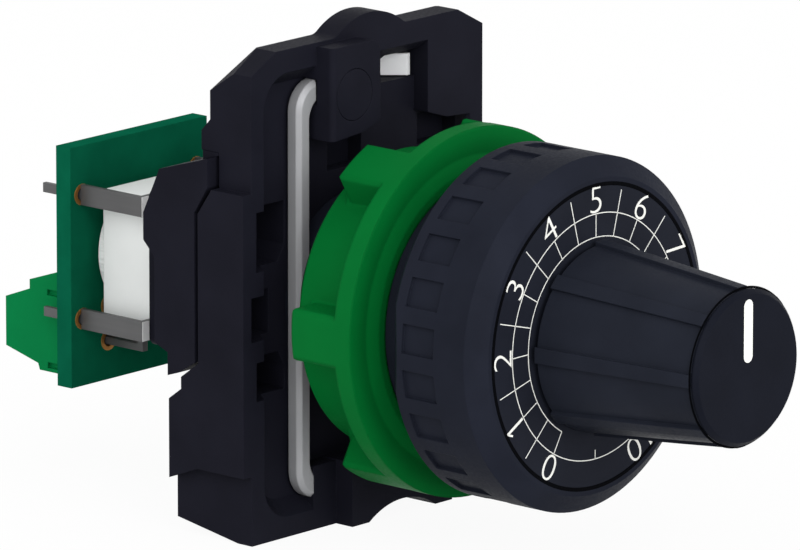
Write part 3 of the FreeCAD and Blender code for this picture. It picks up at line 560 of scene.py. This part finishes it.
@dataclass
class Dial(SubAssembly):
    """The dial plate and the scale printed on it."""

    outer_arc: float = 10.07 * MM
    inner_arc: float = 8.15 * MM
    half_mark_reach: float = 11.94 * MM
    index_length: float = 0.75 * MM
    index_angle: float = 180.0
    line: float = 0.078 * MM
    ink: float = 0.02 * MM
    step: float = 30.0
    marks: int = 11
    numeral_height: float = 2.12 * MM
    numeral_gap: float = 0.06 * MM
    numeral_weight: float = -0.017
    numeral_stretch: float = 1.15
    flag_length: float = 0.62 * MM
    flag_width: float = 0.17 * MM
    flag_slant: float = 228.0
    rim_gap: float = 0.32 * MM

    @property
    def face_y(self) -> float:
        """The dial plate's front face."""
        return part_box("dial_plate")[0][1]

    @property
    def plate_r(self) -> float:
        """The dial plate's radius."""
        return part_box("dial_plate")[1][0]

    def angle(self, mark: float) -> float:
        """The angle of a mark, clockwise from the top.

        Args:
            mark: The number that it stands at.

        Returns:
            The angle in degrees.
        """
        return (mark - (self.marks - 1) / 2) * self.step

    def tick(self, low: float, high: float, degrees: float, width: float | None = None) -> bpy.types.Object:
        """A printed radial mark, pulled out of a flat strip.

        Args:
            low: Its inner radius.
            high: Its outer radius.
            degrees: Its angle from the top.
            width: How wide it is, if not as the scale's lines.

        Returns:
            The mark's mesh object.
        """
        Bench.clear()
        bpy.ops.mesh.primitive_plane_add(size=1, location=(0, self.face_y, (low + high) / 2),
                                         rotation=(math.radians(90), 0, 0))
        piece = bpy.context.active_object
        piece.scale = (width or self.line, high - low, 1)
        Bench.settle(piece)
        bpy.ops.object.mode_set(mode="EDIT")
        bpy.ops.mesh.select_all(action="SELECT")
        bpy.ops.mesh.extrude_region_move(TRANSFORM_OT_translate={"value": (0, -self.ink, 0)})
        bpy.ops.mesh.select_all(action="SELECT")
        bpy.ops.mesh.normals_make_consistent(inside=False)
        bpy.ops.object.mode_set(mode="OBJECT")
        Bench.turn(piece, degrees)
        return piece

    def flag(self, number: bpy.types.Object) -> bpy.types.Object:
        """The short stroke at the head of a 1, which the font leaves off.

        Args:
            number: The number that starts with the 1, still at the dial's top.

        Returns:
            The stroke's mesh object.
        """
        corners = [vertex.co for vertex in number.data.vertices]
        stem = min(corner.x for corner in corners) + self.flag_width / 2
        stem_top = max(corner.z for corner in corners if corner.x < stem) - self.flag_width / 2
        piece = self.tick(0, self.flag_length, self.flag_slant, self.flag_width)
        piece.data.transform(Matrix.Translation((stem, 0, stem_top)))
        return piece

    def numeral(self, mark: int) -> bpy.types.Object:
        """A printed number, upright towards the rim.

        Args:
            mark: The number.

        Returns:
            The number's mesh object.
        """
        Bench.clear()
        bpy.ops.object.text_add()
        piece = bpy.context.active_object
        piece.data.body = str(mark)
        piece.data.align_x = "CENTER"
        piece.data.extrude = 1.0
        piece.data.offset = self.numeral_weight
        bpy.ops.object.convert(target="MESH")
        piece = bpy.context.active_object
        size = self.numeral_height / piece.dimensions.y
        piece.rotation_euler = (math.radians(90), 0, 0)
        piece.scale = (size * self.numeral_stretch, size, self.ink / 2)
        piece.location = (0, self.face_y - self.ink / 2, self.outer_arc + self.numeral_gap)
        Bench.settle(piece)
        if str(mark).startswith("1"):
            piece = Bench.joined([piece, self.flag(piece)], "number")
        Bench.turn(piece, self.angle(mark))
        return piece

    def build(self) -> None:
        """Dresses the plate, prints its arcs, marks and numbers and paints a dark ring of shade round it, for the
        shadow in the groove at its rim.
        """
        self.shop.dress(DIAL_BLACK, "dial_plate")
        span = (self.marks - 1) * self.step
        front = self.face_y - self.ink
        lines = [Bench.ring(self.outer_arc, self.line, front, self.ink),
                 Bench.ring(self.inner_arc, self.line, front, self.ink, self.angle(self.marks - 1), span)]
        for mark in range(self.marks):
            lines.append(self.tick(self.inner_arc, self.outer_arc, self.angle(mark)))
            if mark + 1 < self.marks:
                lines.append(self.tick(self.inner_arc, self.half_mark_reach, self.angle(mark + 0.5)))
        lines.append(self.tick(self.outer_arc - self.index_length, self.outer_arc, self.index_angle))
        self.shop.give(Bench.joined(lines, "scale_lines"), PRINT_WHITE, BASE)
        numbers = [self.numeral(mark) for mark in range(self.marks)]
        self.shop.give(Bench.joined(numbers, "scale_numbers"), PRINT_WHITE, BASE)
        # painted shadow: a thin black ring where the groove round the plate lies in shade
        rim_shade = Bench.ring(self.plate_r, self.rim_gap, front, self.ink)
        rim_shade.name = "dial_rim_painted_shade"
        self.shop.give(rim_shade, TRACK_AND_SHADE_BLACK, BASE)


@dataclass
class Head(SubAssembly):
    """The bezel with its neck and seals."""

    def build(self) -> None:
        """Dresses the head."""
        self.shop.dress(HEAD_BLACK, "head_body")
        self.shop.dress(RUBBER, "shaft_seal", "panel_seal")


@dataclass
class Mounting(SubAssembly):
    """What holds the head in the panel: nut, spring frame, collar and clamp screw."""

    ledge_half_width: float = 13.95 * MM
    ledge_front: float = 18.5 * MM
    ledge_rear: float = 20.3 * MM
    ledge_top: float = 13.2 * MM
    ledge_bottom: float = 12.3 * MM
    carrier_nose: tuple[float, float] = (18.85 * MM, 12.84 * MM)
    carrier_slope: tuple[float, float] = (0.3048, 1.0)
    bevel: float = 0.08 * MM

    def build(self) -> None:
        """Dresses the mounting and closes the collar's rear ledge down to the carrier."""
        self.shop.dress(NUT_GREEN, "fixing_nut")
        self.shop.dress(STEEL, "spring_frame")
        # the latch spring in the lighter steel copy: a painted highlight
        self.shop.dress(STEEL_HIGHLIGHT, "latch_spring")
        self.shop.dress(COLLAR_BLACK, "collar_body", "clamp_foot")
        self.shop.dress(SCREW_STEEL, "clamp_screw")
        low = Vector((-self.ledge_half_width, self.ledge_front, self.ledge_bottom))
        high = Vector((self.ledge_half_width, self.ledge_rear, self.ledge_top))
        ledge = Bench.slab(low, high, self.bevel)
        Bench.trim(ledge, Vector((0, *self.carrier_nose)), -Vector((0, *self.carrier_slope)))
        ledge.name = "collar_ledge"
        self.shop.give(ledge, COLLAR_BLACK, BASE)


@dataclass
class Potentiometer(SubAssembly):
    """The white potentiometer in its black carrier."""

    rear_rim_r: float = 5.36 * MM
    rear_rim_width: float = 0.44 * MM
    rear_rim_height: float = 0.6 * MM
    rear_rim_top: float = 5.0 * MM

    def build(self) -> None:
        """Dresses the potentiometer and its carrier and makes the rim round its rear boss."""
        self.shop.dress(COLLAR_BLACK, "carrier")
        self.shop.dress(POT_WHITE, "pot_housing", "wiper_rotor")
        self.shop.dress(BRASS, "pot_bushing", "wiper_contact")
        self.shop.dress(SCREW_STEEL, "pot_nut", "lock_washer")
        self.shop.dress(TRACK_AND_SHADE_BLACK, "resistive_track")
        self.shop.dress(TINNED, "pot_pins")
        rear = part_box("pot_housing")[1][1]
        rim = Bench.ring(self.rear_rim_r, self.rear_rim_width, rear - self.rear_rim_height, self.rear_rim_height)
        Bench.trim(rim, Vector((0, 0, self.rear_rim_top)), Vector((0, 0, 1)))
        rim.name = "pot_rear_rim"
        self.shop.give(rim, POT_WHITE, BASE)


@dataclass
class Board(SubAssembly):
    """The circuit board with its plated rings, its blades, the painted highlights on their front ends and their
    solder joints.
    """

    tab_inner_x: float = 6.24 * MM
    tab_outer_x: float = 7.08 * MM
    tab_height: float = 1.66 * MM
    tab_film: float = 0.04 * MM
    tab_bevel: float = 0.01 * MM
    joint_foot_r: float = 0.85 * MM
    joint_tip_r: float = 0.5 * MM
    joint_height: float = 0.45 * MM
    joint_waist: float = 0.6
    joint_sides: int = 20
    joint_smooth: float = 50.0
    blade_x: float = 6.9 * MM
    upper_z: float = 5.2 * MM
    lower_z: float = -5.3 * MM

    def joint(self, x: float, z: float) -> bpy.types.Object:
        """A solder joint that climbs a blade behind the board.

        Args:
            x: The hole's place across the board.
            z: The hole's height.

        Returns:
            The joint's mesh object.
        """
        Bench.clear()
        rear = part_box("circuit_board")[1][1]
        bpy.ops.mesh.primitive_circle_add(vertices=self.joint_sides, radius=self.joint_foot_r, fill_type="NGON",
                                          location=(x, rear, z), rotation=(math.radians(90), 0, 0))
        piece = bpy.context.active_object
        Bench.settle(piece)
        waist = self.joint_tip_r + (self.joint_foot_r - self.joint_tip_r) * (1 - self.joint_waist)
        bpy.ops.object.mode_set(mode="EDIT")
        bpy.ops.mesh.select_all(action="SELECT")
        for before, radius in ((self.joint_foot_r, waist), (waist, self.joint_tip_r)):
            bpy.ops.mesh.extrude_region_move(TRANSFORM_OT_translate={"value": (0, self.joint_height / 2, 0)})
            bpy.ops.transform.resize(value=(radius / before, 1, radius / before))
        bpy.ops.mesh.select_all(action="SELECT")
        bpy.ops.mesh.normals_make_consistent(inside=False)
        bpy.ops.object.mode_set(mode="OBJECT")
        bpy.ops.object.shade_smooth_by_angle(angle=math.radians(self.joint_smooth))
        return piece

    def tab(self, side: int, z: float) -> bpy.types.Object:
        """A painted highlight on a blade's front end, beside the tower: a thin bright plate for the light that
        this face catches.

        Args:
            side: -1 for the left blades and 1 for the right ones.
            z: The blade's height.

        Returns:
            The painted highlight's mesh object.
        """
        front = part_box("support_blades")[0][1]
        inner, outer = sorted((side * self.tab_inner_x, side * self.tab_outer_x))
        low = Vector((inner, front - self.tab_film, z - self.tab_height / 2))
        return Bench.slab(low, Vector((outer, front, z + self.tab_height / 2)), self.tab_bevel)

    def build(self) -> None:
        """Dresses the board, solders its blades and paints highlights on their ends."""
        self.shop.dress(BOARD_GREEN, "circuit_board")
        self.shop.dress(COPPER, "solder_rings")
        self.shop.dress(TINNED, "support_blades")
        places = [(side, z) for side in (-1, 1) for z in (self.upper_z, self.lower_z)]
        joints = [self.joint(side * self.blade_x, z) for side, z in places]
        self.shop.give(Bench.joined(joints, "solder_joints"), TINNED, BASE)
        # painted highlights: bright plates on the blades' front ends
        self.shop.give(Bench.joined([self.tab(side, z) for side, z in places], "blade_painted_highlights"), TINNED_HIGHLIGHT, BASE)


@dataclass
class Terminal(SubAssembly):
    """The screw terminal block behind the board."""

    def build(self) -> None:
        """Dresses the housing, its bars and each pole's screw and cage."""
        self.shop.dress(TERMINAL_GREEN, "terminal_housing")
        self.shop.dress(BRASS, "clamp_bars")
        for side in ("left", "middle", "right"):
            self.shop.dress(SCREW_STEEL, "terminal_screw_" + side)
            self.shop.dress(TINNED, "wire_cage_" + side)


@dataclass(frozen=True)
class Lamp:
    """A soft square lamp one metre from the object."""

    name: str
    direction: tuple[float, float, float]
    size: float
    power: float

    def build(self) -> None:
        """Hangs the lamp and aims it at the object."""
        data = bpy.data.lights.new(self.name, "AREA")
        data.size = self.size
        data.energy = self.power
        lamp = bpy.data.objects.new(self.name, data)
        away = Vector(self.direction).normalized()
        lamp.matrix_world = Matrix.Translation(away) @ away.to_track_quat("Z", "Y").to_matrix().to_4x4()
        bpy.context.collection.objects.link(lamp)


@dataclass
class Studio:
    """Floor, background, lamps and the photograph's viewpoint."""

    azimuth: float = -48.15
    elevation: float = 13.34
    distance: float = 909.1 * MM
    aside: float = -15.6156 * MM
    above: float = 4.9245 * MM
    focal_pixels: float = 11380.0
    image_width: float = 800.0
    sensor: float = 36.0
    dial: tuple[float, float, float] = (0, -9.5 * MM, 0)
    floor_size: float = 8.0
    floor_gap: float = 0.05 * MM
    floor_glow: float = 0.94
    floor_shade: float = 0.8
    floor_roughness: float = 0.9
    camera_reach: float = 20.0
    surround_light: float = 1.0
    lamps: tuple[Lamp, ...] = (Lamp("key", (-0.7, -0.45, 0.6), 0.8, 3.6),
                               Lamp("front", (-0.2, -1.0, 0.2), 0.8, 6.8))

    def camera(self) -> None:
        """Places the camera where the photograph was taken from."""
        turn = math.radians(self.azimuth)
        tilt = math.radians(self.elevation)
        right = Vector((math.cos(turn), math.sin(turn), 0))
        back = Vector((math.sin(turn) * math.cos(tilt), -math.cos(turn) * math.cos(tilt), math.sin(tilt)))
        up = back.cross(right)
        data = bpy.data.cameras.new("camera")
        data.sensor_width = self.sensor
        data.lens = self.focal_pixels * self.sensor / self.image_width
        data.clip_end = self.camera_reach
        camera = bpy.data.objects.new("camera", data)
        place = Vector(self.dial) + right * self.aside + up * self.above + back * self.distance
        camera.matrix_world = Matrix.Translation(place) @ Matrix((right, up, back)).transposed().to_4x4()
        bpy.context.collection.objects.link(camera)
        bpy.context.scene.camera = camera

    def floor(self) -> None:
        """Lays a plain pale floor that keeps the object's shadow."""
        Bench.clear()
        bottom = cad_box[0][2] - self.floor_gap
        bpy.ops.mesh.primitive_plane_add(size=self.floor_size, location=(0, 0, bottom))
        floor = bpy.context.active_object
        floor.name = "floor"
        wiring = SurfaceWiring("floor")
        wiring.shader.inputs["Base Color"].default_value = (*[self.floor_shade] * 3, 1)
        wiring.shader.inputs["Roughness"].default_value = self.floor_roughness
        wiring.shader.inputs["Specular IOR Level"].default_value = 0.0
        glow = wiring.add("ShaderNodeEmission")
        mix = wiring.add("ShaderNodeMixShader")
        wiring.join(wiring.ranged(wiring.seen(), 0, self.floor_glow, source=(0, 1)), mix.inputs["Fac"])
        wiring.join(wiring.shader.outputs["BSDF"], mix.inputs[1])
        wiring.join(glow.outputs["Emission"], mix.inputs[2])
        wiring.join(mix.outputs["Shader"], wiring.tree.nodes["Material Output"].inputs["Surface"])
        floor.data.materials.append(wiring.material)

    def surround(self) -> None:
        """Sets the white surround and the light that it gives."""
        world = bpy.data.worlds.new("studio")
        world.use_nodes = True
        wiring = Wiring(world.node_tree)
        background = wiring.tree.nodes["Background"]
        background.inputs["Color"].default_value = (1, 1, 1, 1)
        wiring.join(wiring.ranged(wiring.seen(), self.surround_light, 1.0, source=(0, 1)),
                    background.inputs["Strength"])
        bpy.context.scene.world = world

    def build(self) -> None:
        """Sets the whole studio."""
        self.camera()
        self.floor()
        self.surround()
        for lamp in self.lamps:
            lamp.build()
        bpy.context.scene.view_settings.view_transform = "Standard"


def main() -> None:
    """Builds the whole scene, sub-assembly by sub-assembly."""
    logging.basicConfig(level=logging.INFO)
    shop = PaintShop()
    for kind in (Knob, Dial, Head, Mounting, Potentiometer, Board, Terminal):
        kind(shop).build()
    Studio().build()


if __name__ == "__main__":
    main()
